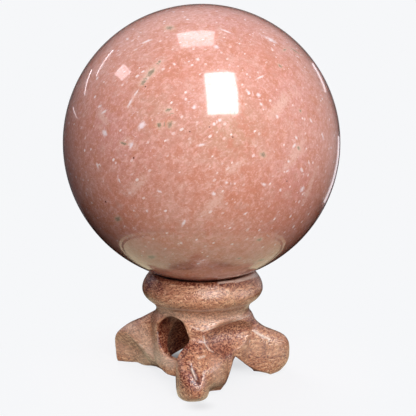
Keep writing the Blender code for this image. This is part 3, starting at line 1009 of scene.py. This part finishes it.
def plate_glow():
    """A pale round plate with a double rim, dark under the stand, and the rosy floor beyond it."""
    material = bpy.data.materials.new("plate")
    n = Nodes(material)
    place = n.in_mm()
    reach = n.vector("LENGTH", place, output="Value")
    forward = n.math("DIVIDE", n.split(place)[1], reach)
    beyond = n.math("GREATER_THAN", reach, PLATE_RADIUS)
    inside = n.step(reach, *PLATE_INNER, 0.0, PLATE_STRENGTH)
    outside = n.step(reach, PLATE_RADIUS, GLOW_REACH, GLOW_STRENGTH, 0.0)
    outside = n.math("MULTIPLY", outside, n.step(forward, *GLOW_FRONT))
    more = n.math("SUBTRACT", outside, inside)
    strength = n.math("ADD", inside, n.math("MULTIPLY", beyond, more))
    for start, end in PLATE_RINGS:
        ring = n.math("MULTIPLY", n.math("GREATER_THAN", reach, start), n.math("LESS_THAN", reach, end))
        strength = n.math("SUBTRACT", strength, n.math("MULTIPLY", ring, PLATE_STRENGTH))
    tint = n.mix(beyond, PLATE_TINT, GLOW_TINT)
    light = n.add("ShaderNodeEmission", {"Color": tint, "Strength": strength})
    n.add("ShaderNodeOutputMaterial", {"Surface": light.outputs[0]})
    return material


def make_floor():
    s = FLOOR_SIZE
    corners = [(-s, -s, 0), (s, -s, 0), (s, s, 0), (-s, s, 0)]
    floor = stage_piece("floor", corners, [(0, 1, 2, 3)], pale_floor())
    floor.visible_glossy = False
    floor.visible_diffuse = False
    angles = [2 * math.pi * i / PLATE_SIDES for i in range(PLATE_SIDES)]
    edge = GLOW_REACH * MM
    rim = [(edge * math.cos(a), edge * math.sin(a), PLATE_HEIGHT) for a in angles]
    plate = stage_piece("plate", rim, [tuple(range(PLATE_SIDES))], plate_glow())
    only_reflected(plate)


def make_backdrop():
    """A pale surround for the camera alone, in the floor's own colour."""
    sides, far, high = BACKDROP_SIDES, BACKDROP_REACH, BACKDROP_HEIGHT
    angles = [2 * math.pi * i / sides for i in range(sides)]
    low = [(far * math.cos(a), far * math.sin(a), -MM) for a in angles]
    top = [(far * math.cos(a), far * math.sin(a), high) for a in angles]
    faces = [(i, (i + 1) % sides, sides + (i + 1) % sides, sides + i) for i in range(sides)]
    faces.append(tuple(range(sides, 2 * sides)))
    backdrop = stage_piece("backdrop", low + top, faces, glow("backdrop", FLOOR_COLOUR, 1.0))
    backdrop.visible_diffuse = False
    backdrop.visible_glossy = False
    backdrop.visible_shadow = False


# Light from all round, by direction
AIR_LOW = (0.13, 0.072, 0.052, 1)
AIR_LOW_LEFT = (0.03, 0.018, 0.015, 1)
AIR_LEFT = (0.045, 0.04, 0.055, 1)
AIR_RIGHT = (0.40, 0.35, 0.36, 1)
AIR_HIGH = (0.48, 0.43, 0.47, 1)
AIR_BEHIND = (0.06, 0.055, 0.06, 1)

# The lamps: name, direction from the sphere, distance, size, power and the one piece they light, if only one
LAMP_TINT = (1.0, 0.985, 0.97)
LAMPS = (
    ("key", (0.18, -0.79, 0.58), 0.8, 0.5, 5.0, None),
    ("fill", (-0.02, -0.99, -0.05), 0.8, 0.3, 1.2, None),
    ("back", (-0.35, 0.82, 0.45), 0.8, 0.6, 4.0, None),
    ("low", (0.12, -0.95, -0.28), 0.16, 0.08, 0.017, "polished_stone"),
    ("stand_fill", (-0.75, -0.62, -0.2), 0.5, 0.2, 0.6, "carved_stand"),
)

# Gleams on the lacquer: the pixel, and the power of the small lamp that is reflected there
GLEAMS = (
    ((214, 294), 0.05),
    ((260, 334), 0.03),
    ((202, 357), 0.012),
    ((149, 342), 0.03),
)
GLEAM_DISTANCE = 0.1
GLEAM_SIZE = 0.03
GLEAM_PATCH = 1.0 * MM  # the reach over which the surface's direction is averaged


def make_air():
    """Dim light from all round, brighter above and at the right."""
    world = bpy.data.worlds.new("air")
    n = Nodes(world)
    x, y, z = n.split(n.add("ShaderNodeTexCoord").outputs["Generated"])[:3]
    level = n.mix(n.step(x, -0.5, 0.7), AIR_LEFT, AIR_RIGHT)
    shade = n.mix(n.step(z, 0.1, 0.8), level, AIR_HIGH)
    below = n.mix(n.step(x, -0.6, 0.0), AIR_LOW_LEFT, AIR_LOW)
    shade = n.mix(n.step(z, -0.05, -0.5), shade, below)
    behind = n.math("MULTIPLY", n.step(y, 0.75, 0.95), n.step(z, 0.15, 0.45, 1.0, 0.0))
    shade = n.mix(behind, shade, AIR_BEHIND)
    sky = n.add("ShaderNodeBackground", {"Color": shade})
    n.add("ShaderNodeOutputWorld", {"Surface": sky.outputs[0]})
    bpy.context.scene.world = world


def add_lamp(name, place, towards, size, power, only):
    """A round lamp that shines towards a point, on one named piece alone if one is given."""
    data = bpy.data.lights.new(name, "AREA")
    data.shape = "DISK"
    data.size = size
    data.energy = power
    data.color = LAMP_TINT
    lamp = link(bpy.data.objects.new(name, data))
    lamp.location = place
    lamp.rotation_euler = (place - towards).to_track_quat("Z", "Y").to_euler()
    lamp.visible_camera = False
    if only:
        lit = bpy.data.collections.new(f"{name}_lit")
        lit.objects.link(bpy.data.objects[only])
        lamp.light_linking.receiver_collection = lit
    return lamp


def make_lamps():
    for name, direction, distance, size, power, only in LAMPS:
        place = SPHERE_CENTRE + Vector(direction) * distance
        add_lamp(name, place, SPHERE_CENTRE, size, power, only).visible_glossy = False


def make_gleams():
    """Small lamps where the stand, seen at each pixel, reflects them to the camera."""
    stand = bpy.data.objects["carved_stand"]
    points, normals = per_vertex(stand.data, "co"), per_vertex(stand.data, "normal")
    for i, (pixel, power) in enumerate(GLEAMS):
        ray = camera.ray(pixel)
        place = stand.ray_cast(camera.eye, ray)[1]
        near = np.linalg.norm(points - np.array(place), axis=1) < GLEAM_PATCH
        out = Vector(normals[near].mean(axis=0)).normalized()
        away = ray - out * (2 * ray.dot(out))
        spot = place + away * GLEAM_DISTANCE
        lamp = add_lamp(f"gleam_{i}", spot, place, GLEAM_SIZE, power, "carved_stand")
        lamp.visible_diffuse = False


camera.make()
make_stone()
make_stand()
make_panels()
make_halo()
make_floor()
make_backdrop()
make_air()
make_lamps()
make_gleams()
bpy.context.scene.view_settings.view_transform = "Standard"
